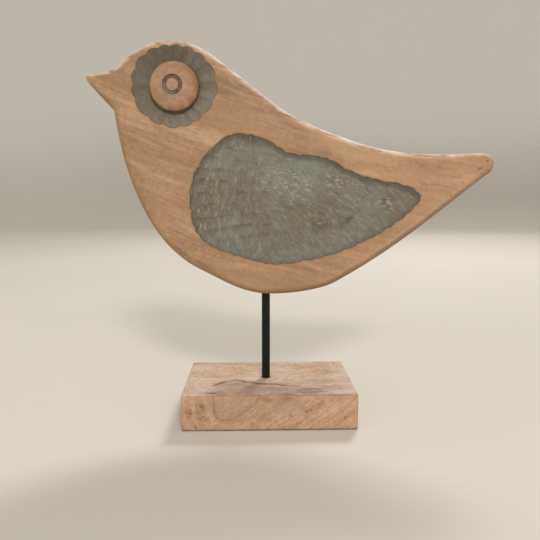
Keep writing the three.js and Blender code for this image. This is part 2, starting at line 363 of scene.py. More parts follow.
def flute_tone_and_shade(points):
    """How dark each flute of the eye ring is, from 0 to 1: a stain that changes from flute to flute and
    across each flute, with painted shade beside the disc and toward the upper left.
    """
    offset, radius, angles = round_eye(points)
    number = np.degrees(angles) % 360 // 22
    beside_disc = np.maximum(radius - DISC_RADIUS, 0)
    # Painted shadow at the disc's foot, and painted shade toward the upper left
    shadow = 0.3 * np.exp(-beside_disc / 2.2) + 0.4 * np.exp(-beside_disc / 0.8)
    upper_left_shade = (offset[:, 1] - 1.2 * offset[:, 0]) / 85
    across = 0.4 * (flute_share(angles) - 0.5)
    return 0.52 + 0.14 * np.sin(number * 2.4) + across + shadow + upper_left_shade


def disc_stain(points):
    """Brown stain that creeps over the disc's rim, most of all at its lower right."""
    offset, radius, _ = round_eye(points)
    rim = np.exp(-(np.maximum(DISC_RADIUS - 0.8 - radius, 0) / 4.0) ** 2) * (radius < DISC_RADIUS + 0.5)
    lower_right = share(0.5 + (offset[:, 0] - offset[:, 1]) / 36)
    broken = np.clip(0.9 + 0.9 * smooth_noise(points, 7, SEED + 16), 0, 1.1)
    return rim * (0.25 + 0.75 * lower_right) * broken


def in_groove(points, margin=0):
    """Whether each point lies in the pupil groove or within a margin beside it."""
    return np.abs(away_from(points, pupil_centre) - PUPIL_MIDDLE) < PUPIL_HALF + margin


def pupil_depth(points, depth):
    """Depth of the round-bottomed ring groove for the pupil."""
    radius = away_from(points, pupil_centre)
    across = share(np.abs(radius - PUPIL_MIDDLE) / PUPIL_HALF)
    return depth * np.sqrt(1 - across**2)


def gouge_strokes():
    """Cuts of the gouge: place, direction, half length, radius, extra depth and fall of each."""
    random = np.random.default_rng(SEED)
    strokes = []
    for row, slope in enumerate(ROW_SLOPES):
        for x in np.arange(ROWS_LEFT + ROW_SHIFT * (row % 2), ROWS_RIGHT, ROW_CUT_WIDTH):
            x += random.uniform(-1.3, 1.3)
            z = ROWS_FROM + ROW_HEIGHT * row + slope * (x - ROWS_MIDDLE) + random.uniform(-0.7, 0.7)
            turn = math.radians(90 + random.uniform(-8, 8))
            fall = random.uniform(*ROW_CUT_FALLS)
            radius, extra = random.uniform(*ROW_CUT_RADII), random.uniform(-0.16, 0.16)
            strokes.append((x, z, turn, ROW_CUT_HALF_LENGTH, radius, extra, fall))
    for x in np.arange(*LOOSE_CUTS_ALONG, LOOSE_CUT_STEP):
        for z in np.arange(*LOOSE_CUTS_UP, LOOSE_CUT_STEP):
            place = np.array((x, z)) + random.uniform(-2.4, 2.4, 2)
            turns = UPPER_CUT_TURNS if z > UPPER_CUTS_FROM else LOWER_CUT_TURNS
            turn = math.radians(random.uniform(*turns))
            radius, extra = random.uniform(*LOOSE_CUT_RADII), random.uniform(-0.22, 0.18)
            strokes.append((*place, turn, LOOSE_CUT_HALF_LENGTH, radius, extra, LOOSE_CUT_FALL))
    return np.array(strokes)


def gouged_floor(points, depth):
    """Depth of the floor that overlapping cuts leave, nearness to a ridge, and the share of
    the way from the lower to the upper end of the cut."""
    strokes = gouge_strokes()
    cosine, sine = np.cos(strokes[:, 2]), np.sin(strokes[:, 2])
    half, radius, extra, fall = strokes[:, 3:].T

    def deepest(some):
        offset = some[:, None] - strokes[None, :, :2]
        along = offset[..., 0] * cosine + offset[..., 1] * sine
        across = offset[..., 1] * cosine - offset[..., 0] * sine
        cut = extra + fall * along - across**2 / (2 * radius) - 0.6 * (along / half) ** 6
        best = cut.argmax(1)
        reached = along[np.arange(len(some)), best] * fall[best] / FULL_FALL
        cut = np.sort(cut, axis=1)
        return np.stack([cut[:, -1], cut[:, -1] - cut[:, -2], reached], 1)

    level, lead, reached = in_chunks(deepest, points, 1500).T
    fade = np.exp(-3 * np.maximum(np.abs(reached) - 1, 0))
    return depth + np.maximum(level, -1.2), np.exp(-lead / 0.06), 0.5 + 0.5 * reached * fade


def plain_floor(points, depth):
    """The back's floor, smoothed with a flat tool: hardly any marks and no ridges."""
    waves = 0.12 * smooth_noise(points, 22, SEED + 5)
    return depth + waves, np.zeros(len(points)), 0.5 + waves


def wing_recess(points, edge, side):
    """The wing's depth, from a hollow rim down to the floor, and its ridges, how dark it is painted, and
    edge gap.
    """
    inside = is_inside(points, edge)
    gap, _ = distance_to(points, edge)
    floor = plain_floor if side["plain"] else gouged_floor
    ground, ridge, hollow = floor(points, side["wing_depth"])
    down = share(gap / WING_RIM)
    rim = side["wing_depth"] * 1.2 * (1 - (1 - down) ** 1.35)
    soft = share(0.5 + (ground - rim) / (2 * RIM_BLEND))
    low = rim * soft + ground * (1 - soft) - RIM_BLEND * soft * (1 - soft)
    depths = np.where(inside, np.maximum(low, 0), 0)
    # Painted shade and highlight: on the front each cut is darker toward its upper end, under the step of
    # the row above, and paler toward its lower end; a band of painted shade runs along the rim
    shaded = hollow * (1 - soft) + 0.5 * soft + 0.4 * np.exp(-gap / 3.5)
    return depths, ridge * (1 - soft) * inside, np.where(inside, shaded, 0.5), gap


def round_over(points, line, rounds):
    """Depth of the board's rounded edge below its face, and the distance to the outline."""
    gap, place = distance_to(points, line)
    radius = at_places(place, rounds)
    inward = share(1 - gap / radius)
    return radius * (1 - np.sqrt(1 - inward**2)), gap


def edge_finish(points, outer_gap):
    """Painted shade on the flattened lower edge of the tail, and a painted highlight along its inner
    side.
    """
    x, z = points.T
    on_edge = share((x - 22) / 20) * share((LOWER_EDGE_TOP - z) / 5)
    inward = LOWER_EDGE_WIDTH + 0.6 * smooth_noise(points, 26, SEED + 19) - outer_gap
    shade = share(inward / 0.9)
    highlight = np.exp(-((inward + 0.5) / 0.5) ** 2)
    return shade * on_edge, highlight * on_edge


# Triangulation of a face


def hex_points(low, high, spacing, random):
    """A jittered triangular pattern of points over a rectangle."""
    rows = np.arange(low[1], high[1], spacing * math.sqrt(3) / 2)
    columns = np.arange(low[0], high[0], spacing)
    x = columns[None] + (np.arange(len(rows)) % 2)[:, None] * spacing / 2
    points = np.stack([x, np.broadcast_to(rows[:, None], x.shape)], 2).reshape(-1, 2)
    return points + random.uniform(-JITTER, JITTER, points.shape) * spacing


def circle_points(centre, radius, steps):
    """Points round a centre, clockwise, at one radius or at a radius for each point."""
    angles = -np.linspace(0, 2 * math.pi, steps, endpoint=False)
    spokes = np.stack([np.cos(angles), np.sin(angles)], 1)
    return centre + spokes * np.broadcast_to(radius, steps)[:, None]


def eye_lines(lobe, steps):
    """Closed lines over the eye ring, the disc's edge and the pupil groove."""
    edge = eye_edge(-np.linspace(0, 2 * math.pi, steps, endpoint=False), lobe)
    outward = (1, 0.94, 0.85, 0.74, 0.62, 0.5, 0.38, 0.26, 0.15, 0.06, 0)
    ring = [circle_points(eye_centre, FOOT_RADIUS + (edge - FOOT_RADIUS) * out, steps) for out in outward]
    radii = [FOOT_RADIUS - 0.25, FOOT_RADIUS - 0.55]
    radii += [DISC_RADIUS - DISC_ROUND * inward for inward in (0, 0.12, 0.3, 0.55, 0.8, 1)]
    disc = [circle_points(eye_centre, radius, steps) for radius in radii]
    sines = (1, 0.92, 0.75, 0.5, 0.25, 0, -0.25, -0.5, -0.75, -0.92, -1)
    groove = [circle_points(pupil_centre, PUPIL_MIDDLE + PUPIL_HALF * sine, steps // 2) for sine in sines]
    return ring, disc, groove


def triangulate_face(border, lines, free):
    """Triangles over a face: its border, closed lines that stay whole, and free points."""
    loops = [border, *lines]
    edges, start = [], 0
    for loop in loops:
        count = len(loop)
        edges += [(start + i, start + (i + 1) % count) for i in range(count)]
        start += count
    outer = [list(range(len(border)))]
    points = [Vector(point) for point in np.vstack([*loops, free])]
    found = delaunay_2d_cdt(points, edges, outer, 1, 1e-5, True)
    vertices = np.array([tuple(v) for v in found[0]])
    triangles = np.array(found[2])
    triangles = triangles[is_inside(vertices[triangles].mean(1), border)]
    place = {old: new for new, olds in enumerate(found[3]) for old in olds}
    return vertices, triangles, [place[i] for i in range(len(border))]


def keep_clear(points, line, gap):
    """The points that stay a little away from a line."""
    return points[distance_to(points, line)[0] > gap]


def free_points(border, edge, ring_edge, wing_foot, side):
    """Free points of a face: close together in the wing, wider on plain wood."""
    random = np.random.default_rng(SEED + side["plain"])
    spacing = side["wing_spacing"]
    wing = hex_points(edge.min(0), edge.max(0), spacing, random)
    wing = wing[is_inside(wing, edge)]
    for line in (edge, wing_foot):
        wing = keep_clear(wing, line, spacing * CLEARANCE)
    wood = hex_points(border.min(0), border.max(0), WOOD_SPACING, random)
    wood = wood[is_inside(wood, border) & ~is_inside(wood, edge) & ~is_inside(wood, ring_edge)]
    for line in (border, edge, ring_edge):
        wood = keep_clear(wood, line, WOOD_SPACING * CLEARANCE)
    disc = hex_points(eye_centre - DISC_RADIUS, eye_centre + DISC_RADIUS, DISC_SPACING, random)
    on_top = away_from(disc, eye_centre) < DISC_RADIUS - DISC_ROUND - 0.5
    disc = disc[on_top & ~in_groove(disc, 0.5)]
    return np.vstack([wing, wood, disc])


def carve_face(border, outline, rounds, side):
    """One face of the board: its vertices with depths, triangles, border and finish values."""
    line = wing_line(side["wing_step"])
    edge = line if side["plain"] else scalloped(line)
    wing_foot = inset(line, np.full(len(line), WING_RIM * 0.5))
    ring, disc, groove = eye_lines(side["lobe"], side["ring_steps"])
    rows = []
    for turn in EDGE_TURNS:
        row, _ = rounding_row(outline, rounds, turn)
        rows.append(keep_clear(row[~is_inside(row, ring[0])], ring[0], 0.4))
    free = free_points(border, edge, ring[0], wing_foot, side)
    free = np.vstack([free, *rows, *disc[1:-1], *groove[1:-1], *ring[1:-1]])
    lines = [edge, wing_foot, ring[0], ring[-1], disc[2], disc[-1], groove[0], groove[-1]]
    vertices, triangles, rim = triangulate_face(border, lines, free)

    wing, ridge, hollow, wing_gap = wing_recess(vertices, edge, side)
    carved_eye = eye_depth(vertices, side) + pupil_depth(vertices, side["pupil_depth"])
    rounded, outer_gap = round_over(vertices, outline, rounds)
    worn = (0.1 + 0.1 * smooth_noise(vertices, 45, SEED + 2)) * share(outer_gap / 8)
    _, from_eye, _ = round_eye(vertices)
    # The gap also counts from the disc's foot, where the grey finish paints shade
    eye_gap = np.minimum(distance_to(vertices, ring[0])[0], np.abs(DISC_RADIUS + 0.4 - from_eye))
    edge_shade, edge_highlight = edge_finish(vertices, outer_gap)
    return {
        "vertices": vertices, "triangles": triangles, "rim": rim, "edge": edge, "ring_edge": ring[0],
        "depths": np.max([wing, carved_eye, rounded, worn], axis=0), "ridge": ridge,
        "tone_and_shade": np.where(is_inside(vertices, ring[0]), flute_tone_and_shade(vertices), hollow),
        "in_wing": is_inside(vertices, edge) * side["grey"], "carved_gap": np.minimum(wing_gap, eye_gap),
        "disc": from_eye < DISC_RADIUS + 0.3, "disc_stain": disc_stain(vertices),
        "edge_shade": edge_shade, "edge_highlight": edge_highlight,
    }


def zone_of(face):
    """Material number of each triangle: 0 wood, 1 grey carving, 2 pupil groove."""
    centres = face["vertices"][face["triangles"]].mean(1)
    in_ring = is_inside(centres, face["ring_edge"]) & (away_from(centres, eye_centre) > DISC_RADIUS)
    grey = is_inside(centres, face["edge"]) | in_ring
    return np.where(in_groove(centres), 2, np.where(grey, 1, 0))


def make_object(name, vertices, faces, materials, zones=None):
    """A smooth mesh object from vertices in millimetres."""
    mesh = bpy.data.meshes.new(name)
    mesh.from_pydata((np.asarray(vertices) * MM).tolist(), [], faces)
    for material in materials:
        mesh.materials.append(material)
    if zones is not None:
        mesh.polygons.foreach_set("material_index", np.asarray(zones, np.int32))
    mesh.polygons.foreach_set("use_smooth", np.ones(len(mesh.polygons), bool))
    mesh.update()
    mesh.validate()
    piece = bpy.data.objects.new(name, mesh)
    bpy.context.scene.collection.objects.link(piece)
    return piece


def set_attribute(piece, name, values):
    """A value for each vertex that the material reads."""
    attribute = piece.data.attributes.new(name, "FLOAT", "POINT")
    attribute.data.foreach_set("value", np.asarray(values, np.float32))


def sharpen_zone_borders(piece):
    """Keeps a crisp edge where two materials meet."""
    mesh = piece.data
    zones = np.empty(len(mesh.polygons), np.int32)
    mesh.polygons.foreach_get("material_index", zones)
    first = {}
    sharp = mesh.attributes.new("sharp_edge", "BOOLEAN", "EDGE")
    for polygon in mesh.polygons:
        for key in polygon.loop_indices:
            edge = mesh.loops[key].edge_index
            if first.setdefault(edge, zones[polygon.index]) != zones[polygon.index]:
                sharp.data[edge].value = True


def on_board(flat, depths, side):
    """Points at depths below the front, where the side is -1, or the back, where it is 1."""
    return np.stack([flat[:, 0], side * (HALF_BOARD - depths), flat[:, 1]], 1)


def wall_rows(outline, rounds):
    """Rows of points over the side wall, from the front's rounded edge to the back's."""
    near = [on_board(*rounding_row(outline, rounds, turn), -1) for turn in WALL_TURNS]
    far = [on_board(*rounding_row(outline, rounds, turn), 1) for turn in reversed(WALL_TURNS)]
    middle = []
    for row in range(1, WALL_ROWS + 1):
        over = row / (WALL_ROWS + 1)
        wall = near[-1] * (1 - over) + far[0] * over
        wall[:, [0, 2]] = inset(wall[:, [0, 2]], 0.12 + 0.12 * smooth_noise(wall, 30, SEED + 3))
        middle.append(wall)
    return near + middle + far


def make_bird(materials):
    """The carved board as one closed mesh: two faces, their round-overs and the side wall."""
    outline, rounds = bird_outline()
    border, _ = rounding_row(outline, rounds, RIM_TURN)
    front = carve_face(border, outline, rounds, FRONT)
    back = carve_face(border, outline, rounds, BACK)
    rows = wall_rows(outline, rounds)
    sides = [on_board(face["vertices"], face["depths"], side) for face, side in ((front, -1), (back, 1))]
    vertices = np.vstack([*sides, *rows])

    count, front_count = len(outline), len(front["vertices"])
    faces_end = front_count + len(back["vertices"])
    loops = [front["rim"]]
    for row in range(len(rows)):
        loops.append(range(faces_end + row * count, faces_end + (row + 1) * count))
    loops.append([front_count + i for i in back["rim"]])
    back_triangles = front_count + back["triangles"][:, ::-1]
    faces = [tuple(triangle) for triangle in [*front["triangles"].tolist(), *back_triangles.tolist()]]
    for near, far in zip(loops, loops[1:]):
        for i in range(count):
            j = (i + 1) % count
            faces.append((near[i], near[j], far[j], far[i]))
    face_zones = np.concatenate([zone_of(front), zone_of(back)])
    zones = np.append(face_zones, np.zeros(len(faces) - len(face_zones), int))
    piece = make_object("carved_bird", vertices, faces, materials, zones)
    for name, on_wall in WALL_VALUES.items():
        on_walls = np.full(len(rows) * count, on_wall)
        set_attribute(piece, name, np.concatenate([front[name], back[name], on_walls]))
    sharpen_zone_borders(piece)
    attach(piece, "root")
    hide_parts("bird")


# Finishes, whose colours are screen values from 0 to 255

HEAD_BROWN = (155, 119, 82)
TAIL_BROWN = (178, 137, 101)
ROSY_BROWN = (182, 136, 108)
OLIVE_BROWN = (148, 123, 86)
GRAIN_DARK = (122, 92, 61)
GRAIN_PALE = (200, 164, 126)
DISC_SHADED = (156, 120, 92)
DISC_ROSY = (176, 141, 114)
DISC_STAIN = (134, 94, 54)
PORE = (108, 78, 50)
BLED_STAIN = (138, 104, 66)
WOOD_MARK = (88, 76, 56)
EDGE_SHADE = (132, 100, 76)
EDGE_HIGHLIGHT = (208, 172, 140)
UNDERSIDE_SHADE = (134, 98, 64)
WASH_AND_HIGHLIGHT = (226, 204, 188)

GREY = (119, 118, 106)
WARM_GREY = (112, 102, 87)
BROWN_GREY = (100, 88, 66)
ROSY_GREY = (132, 116, 106)
TIP_GREY = (114, 103, 87)
EYE_GREY = (112, 97, 79)
GREY_DARK = (82, 76, 62)
GREY_PALE = (162, 160, 147)
KNOT = (80, 70, 50)
RIM_LINE = (66, 60, 48)
SCRATCH = (184, 184, 172)

PUPIL_BROWN = (98, 82, 68)
PUPIL_HIGHLIGHT = (114, 109, 95)
PUPIL_DARK = (64, 56, 46)
PUPIL_PALE = (140, 132, 118)

BLOCK_TAN = (187, 147, 110)
BLOCK_ROSY = (203, 154, 122)
BLOCK_DARK = (140, 107, 78)
BLOCK_PALE = (226, 198, 172)
BLOCK_GREY = (158, 132, 112)
LIME_AND_TOP_LIGHT = (212, 197, 181)
LILAC = (154, 125, 104)
FRONT_STAIN = (146, 106, 66)
TOP_STAIN = (126, 98, 78)
BLOCK_MARK_AND_SHADOW = (92, 60, 46)

ROD_DARK = (6, 12, 6)
ROD_WORN = (11, 18, 11)
FLOOR_PAINT = (212, 205, 193)
FLOOR_CLOUD = (218, 211, 200)
BACKDROP_PAINTED_LIGHT = (250, 246, 240)

# Dabs on the front: place, turn in degrees, half length, half width, strength and colour
BIRD_MARKS = (
    ((151, 182), 60, 1.5, 1.1, 0.8, WOOD_MARK),
    ((145.5, 176.2), 41, 4.2, 0.8, 0.6, WOOD_MARK),
    ((126, 157.9), 20, 1.3, 0.9, 0.6, WOOD_MARK),
    ((121.4, 185.4), 0, 1.6, 1.1, 0.6, WOOD_MARK),
    ((-60, 119), -38, 10, 1.8, 0.4, WOOD_MARK),
    ((-46, 110.5), -28, 9, 1.8, 0.45, WOOD_MARK),
)
BIRD_TINTS = (
    ((62, 192), -14, 46, 13, 0.55, (198, 158, 118)),
    ((-2, 98), 0, 48, 13, 0.4, (146, 112, 78)),
    ((-25, 213), -20, 24, 12, 0.4, (150, 116, 82)),
    ((96, 138), 35, 22, 10, 0.45, (174, 140, 108)),
)
WING_TINTS = (
    ((16, 171), -10, 36, 20, 0.36, (130, 132, 121)),
    ((-24, 122), 8, 32, 12, 0.4, (120, 123, 112)),
    ((-44, 152), 85, 24, 12, 0.45, (108, 96, 76)),
    ((38, 142), 18, 28, 11, 0.36, (108, 97, 78)),
    ((92, 153), -10, 22, 14, 0.5, (112, 101, 85)),
)
WING_KNOT_MARKS = (
    ((54, 140.5), 40, 8, 4.4, 0.4, KNOT),
    ((55.5, 141.5), 40, 4.2, 2.4, 0.6, KNOT),
    ((35.5, 137.5), 20, 8, 4.8, 0.45, KNOT),
    ((82, 154), 60, 7, 5.4, 0.4, KNOT),
    ((82.5, 155), 60, 3.4, 2.6, 0.6, KNOT),
)
# Where short pale flecks lie in the wing: place, turn, half length and half width
FLECKS = (
    ((15, 165), -14, 24, 13),
    ((50, 167), -20, 15, 9),
    ((81, 152), 40, 9, 7),
    ((34, 141), 20, 9, 5),
)
GRAIN_FALL = 0.31
GRAIN_BEND = -0.0006


def shader_colour(tint):
    """A colour in screen values as the linear values of a shader."""
    screen = np.array(tint) / 255
    linear = np.where(screen <= 0.04045, screen / 12.92, ((screen + 0.055) / 1.055) ** 2.4)
    return (*(float(value) for value in linear), 1)


class Finish:
    """A procedural material. Methods that add a node return its output, and coats are laid
    over the colour so far."""

    def __init__(self, name, roughness, colour):
        self.material = bpy.data.materials.new(name)
        self.material.use_nodes = True
        self.nodes = self.material.node_tree.nodes
        self.links = self.material.node_tree.links
        self.shader = self.nodes["Principled BSDF"]
        self.shader.inputs["Roughness"].default_value = roughness
        self.colour = colour
        place = self.node("TexCoord")["Object"]
        self.place = self.node("VectorMath", {0: place, "Scale": 1 / MM}, operation="SCALE")["Vector"]
        self.x, self.y, self.z = self.node("SeparateXYZ", {0: self.place})

    def put(self, socket, value):
        if isinstance(value, bpy.types.NodeSocket):
            self.links.new(value, socket)
        else:
            socket.default_value = value

    def node(self, kind, inputs=None, **settings):
        """The outputs of a new node, whose inputs are each given a value or another output."""
        node = self.nodes.new("ShaderNode" + kind)
        for name, setting in settings.items():
            setattr(node, name, setting)
        for key, value in (inputs or {}).items():
            self.put(node.inputs[key], value)
        return node.outputs

    def vector(self, operation, first, second):
        return self.node("VectorMath", {0: first, 1: second}, operation=operation)["Vector"]

    def math(self, operation, first, *others):
        """All the values taken together by one operation."""
        for value in others:
            first = self.node("Math", {0: first, 1: value}, operation=operation)[0]
        return first

    def times(self, *values):
        return self.math("MULTIPLY", *values)

    def plus(self, *values):
        return self.math("ADD", *values)

    def minus(self, first, second):
        return self.math("SUBTRACT", first, second)

    def join(self, x, y, z):
        return self.node("CombineXYZ", {0: x, 1: y, 2: z})[0]

    def value_of(self, name):
        """A value that the mesh carries at each point."""
        return self.node("Attribute", attribute_name=name)["Fac"]

    def looking_up(self):
        """How far the surface looks up, from -1 to 1."""
        return self.node("SeparateXYZ", {0: self.node("NewGeometry")["Normal"]})["Z"]

    def noise(self, vector, period, detail=3, roughness=0.55):
        """Noise from 0 to 1 whose features repeat about every period, in millimetres."""
        if isinstance(period, tuple):
            vector = self.vector("DIVIDE", vector, period)
            period = 1
        inputs = {"Vector": vector, "Scale": 1 / period, "Detail": detail, "Roughness": roughness}
        return self.node("TexNoise", inputs)["Fac"]

    def dashes(self, vector, period, radius, softness):
        """Scattered dashes, from 0 to 1."""
        inputs = {"Vector": self.vector("DIVIDE", vector, period), "Scale": 1, "Randomness": 1}
        return self.band(self.node("TexVoronoi", inputs)["Distance"], radius + softness, radius)

    def band(self, value, low, high, to_low=0, to_high=1):
        """Maps a value from one range smoothly to another, and stops at its ends."""
        inputs = {"Value": value, "From Min": low, "From Max": high, "To Min": to_low, "To Max": to_high}
        return self.node("MapRange", inputs, interpolation_type="SMOOTHSTEP")["Result"]

    def mix(self, amount, *colours):
        """A colour between two others, which are screen values or outputs."""
        first, second = (shader_colour(tint) if isinstance(tint, tuple) else tint for tint in colours)
        return self.node("Mix", {"Factor": amount, 6: first, 7: second}, data_type="RGBA")[2]

    def coat(self, amount, tint, strength=1):
        """Lays a tint over the colour so far, as much as the amount says."""
        self.colour = self.mix(self.times(amount, strength), self.colour, tint)

    def vein(self, pattern, strength, dark, pale):
        """Darkens the colour where a pattern is low and lightens it where it is high."""
        self.coat(self.band(pattern, 0.5, 0.3), dark, strength)
        self.coat(self.band(pattern, 0.5, 0.7), pale, strength)

    def share_along(self, offset, degrees, length):
        """How far an offset reaches along a direction of the front, in units of a length."""
        turn = math.radians(degrees)
        inputs = {0: offset, 1: (math.cos(turn) / length, 0, math.sin(turn) / length)}
        return self.node("VectorMath", inputs, operation="DOT_PRODUCT")["Value"]

    def dab(self, centre, turn, long, wide, ragged):
        """A ragged oval mark on the front, from 0 to 1."""
        reach = 1.3 * ragged
        waver = self.node("TexNoise", {"Vector": self.place, "Scale": 1 / ragged})["Color"]
        waver = self.vector("MULTIPLY", waver, (reach, reach, reach))
        middle = (centre[0] + reach / 2, 0, centre[1] + reach / 2)
        offset = self.vector("SUBTRACT", self.vector("ADD", self.place, waver), middle)
        along = self.share_along(offset, turn, long)
        across = self.share_along(offset, turn + 90, wide)
        gap = self.plus(self.times(along, along), self.times(across, across))
        return self.times(self.band(gap, 1, 0.15), self.band(self.y, 1, -1))

    def dabs(self, areas, ragged):
        """Lays every dab of a table over the colour so far."""
        for place, turn, long, wide, strength, tint in areas:
            self.coat(self.dab(place, turn, long, wide, ragged), tint, strength)

    def bump(self, height, distance):
        """Relief as high as the distance, in millimetres."""
        relief = self.node("Bump", {"Height": height, "Distance": distance * MM, "Strength": 1})
        self.put(self.shader.inputs["Normal"], relief["Normal"])

    def done(self, roughness=None):
        """The material, with its coats and perhaps an uneven roughness."""
        self.put(self.shader.inputs["Base Color"], self.colour)
        if roughness is not None:
            self.put(self.shader.inputs["Roughness"], roughness)
        return self.material


def bird_grain(wood):
    """Coordinates that follow the board's grain, which falls to the tail and bends a little."""
    wave = wood.times(wood.noise(wood.place, 70, 1), 9)
    bend = wood.times(wood.x, wood.x, GRAIN_BEND)
    across = wood.plus(wood.z, wood.times(wood.x, GRAIN_FALL), wood.plus(bend, wave))
    along = wood.minus(wood.x, wood.times(wood.z, GRAIN_FALL))
    return wood.join(along, wood.y, across)


def bird_wood():
    """Warm brown wood, sanded by hand, with limewash and a painted highlight on the edges that look up.
    """
    wood = Finish("bird_wood", 0.66, HEAD_BROWN)
    grain = bird_grain(wood)
    broad = wood.noise(grain, (75, 26, 16), 6, 0.58)
    streaks = wood.noise(grain, (52, 12, 2.8), 5, 0.6)
    fibres = wood.noise(grain, (13, 3, 0.6), 3, 0.65)
    mottle = wood.noise(wood.place, 3.4, 3, 0.65)
    patches = wood.noise(wood.place, 44, 3, 0.5)
    wood.coat(wood.band(wood.x, -110, 130), TAIL_BROWN)
    wood.coat(wood.band(patches, 0.5, 0.68), ROSY_BROWN, 0.4)
    wood.coat(wood.band(patches, 0.48, 0.32), OLIVE_BROWN, 0.4)
    for pattern, strength in ((broad, 0.66), (streaks, 0.3), (mottle, 0.28), (fibres, 0.26)):
        wood.vein(pattern, strength, GRAIN_DARK, GRAIN_PALE)
    wood.dabs(BIRD_TINTS, ragged=9)
    disc = wood.value_of("disc")
    wood.coat(disc, wood.mix(wood.band(mottle, 0.38, 0.62), DISC_SHADED, DISC_ROSY), 0.42)
    wood.coat(wood.value_of("disc_stain"), DISC_STAIN, 0.95)
    pores = wood.dashes(grain, (17, 4, 2.4), 0.08, 0.15)
    thinned = wood.band(wood.noise(wood.place, 16, 2), 0.5, 0.6)
    wood.coat(wood.times(pores, thinned), PORE, 0.55)
    beside_carving = wood.band(wood.value_of("carved_gap"), 1.9, 0.2)
    wood.coat(wood.times(beside_carving, wood.band(mottle, 0.4, 0.6)), BLED_STAIN, 0.5)
    wood.dabs(BIRD_MARKS, ragged=1.8)
    # Painted shade on the tail's lower edge, and a painted highlight along its inner side
    wood.coat(wood.value_of("edge_shade"), EDGE_SHADE, 0.42)
    wood.coat(wood.value_of("edge_highlight"), EDGE_HIGHLIGHT, 0.3)
    up = wood.looking_up()
    # Painted shade on the surfaces that face down
    wood.coat(wood.band(up, -0.2, -0.75), UNDERSIDE_SHADE, 0.36)
    # Limewash and a painted highlight on the edges that look up, kept off the disc
    wash_and_highlight = wood.band(wood.noise(grain, (22, 10, 5), 4, 0.7), 0.36, 0.56)
    off_disc = wood.band(disc, 1, 0, 0, 0.8)
    wood.coat(wood.times(wood.band(up, 0.22, 0.7), wash_and_highlight, off_disc), WASH_AND_HIGHLIGHT)
    wood.bump(wood.plus(wood.times(fibres, 0.6), wood.times(streaks, 0.5), wood.times(mottle, 0.5)), 0.2)
    return wood.done(wood.band(fibres, 0.3, 0.7, 0.58, 0.78))


def turned_place(grey, degrees, shift):
    """Places with their first axis along a direction of the front, a little wavy."""
    cosine, sine = math.cos(math.radians(degrees)), math.sin(math.radians(degrees))
    along = grey.plus(grey.times(grey.x, cosine), grey.times(grey.z, sine), shift)
    across = grey.minus(grey.times(grey.z, cosine), grey.times(grey.x, sine))
    wobble = grey.times(grey.noise(grey.place, 6, 2), 2)
    return grey.join(along, grey.plus(across, wobble), grey.y)


def scratches(grey, degrees, period, shift, from_level=0.6):
    """Faint tool marks that lie in one direction, bent and broken."""
    strokes = grey.noise(turned_place(grey, degrees, shift), period, 1.5, 0.5)
    return grey.band(strokes, from_level, from_level + 0.1)


def brushed(grey):
    """Short strokes of stain, from 0 to 1, upright at the wing's left and slanting elsewhere."""
    upright, slanting = (grey.noise(turned_place(grey, turn, 12), (6.5, 2.4, 4), 4, 0.62)
                         for turn in (84, -40))
    to_slanting = grey.band(grey.x, -22, 8)
    return grey.plus(upright, grey.times(to_slanting, grey.minus(slanting, upright)))


def wing_scratches(grey, in_wing):
    """Pale scratches that run like the strokes of stain, and short flecks in a few places."""
    upright = grey.times(scratches(grey, 86, (8, 1.2, 4), 0), grey.band(grey.x, 2, -8))
    slanting = grey.times(scratches(grey, -38, (6, 1.3, 4), 30), grey.band(grey.x, 6, 40, 0, 0.6))
    broken = grey.band(grey.noise(grey.place, 13, 3, 0.6), 0.4, 0.54)
    lines = grey.times(grey.math("MAXIMUM", upright, slanting), broken, 0.32)
    flecked = grey.math("MAXIMUM", *(grey.dab(*area, ragged=5) for area in FLECKS))
    flecks = grey.times(scratches(grey, -6, (3, 1, 3), 70, 0.55), flecked, 0.5)
    before_tip = grey.band(grey.x, 94, 84)
    return grey.times(grey.math("MAXIMUM", lines, flecks), in_wing, before_tip)


def carving_grey():
    """Grey stain in the gouged wing and the eye ring, rubbed back on ridges and scratches."""
    grey = Finish("carving_grey", 0.74, GREY)
    in_wing = grey.value_of("in_wing")
    tone_and_shade = grey.value_of("tone_and_shade")
    patches = grey.noise(grey.place, 26, 5, 0.6)
    warm = grey.noise(grey.place, 9, 5, 0.65)
    fine = grey.noise(grey.place, 1.5, 4, 0.75)
    rosy = grey.noise(grey.place, 17, 3)
    grey.coat(grey.band(patches, 0.4, 0.62), WARM_GREY)
    grey.coat(grey.band(warm, 0.55, 0.72), BROWN_GREY, 0.5)
    grey.coat(grey.band(rosy, 0.52, 0.7), ROSY_GREY, 0.4)
    grey.coat(grey.band(grey.x, 76, 90), TIP_GREY, 0.6)
    grey.coat(grey.band(in_wing, 1, 0), EYE_GREY, 0.6)
    grey.dabs(WING_TINTS, ragged=8)
    grey.vein(fine, grey.band(grey.x, 88, 72, 0.2, 0.3), GREY_DARK, GREY_PALE)
    grey.vein(brushed(grey), grey.band(in_wing, 0, 1, 0.14, 0.34), GREY_DARK, GREY_PALE)
    # Painted shade and painted highlight in the carvings, with the flutes' own stain
    grey.coat(grey.band(tone_and_shade, 0.5, 1), GREY_DARK, 0.42)
    grey.coat(grey.band(tone_and_shade, 0.5, 0), GREY_PALE, 0.16)
    grey.dabs(WING_KNOT_MARKS, ragged=4)
    # A dark line along the edges of the carvings, and painted shade at the foot of the disc
    grey.coat(grey.band(grey.value_of("carved_gap"), 1, 0.2), RIM_LINE, 0.5)
    marks = wing_scratches(grey, in_wing)
    grey.coat(marks, SCRATCH)
    grey.coat(grey.times(grey.value_of("ridge"), grey.band(warm, 0.42, 0.6)), GREY_PALE, 0.3)
    rough = grey.times(fine, grey.band(in_wing, 0, 1, 0.4, 1))
    grey.bump(grey.plus(rough, marks), 0.34)
    return grey.done()


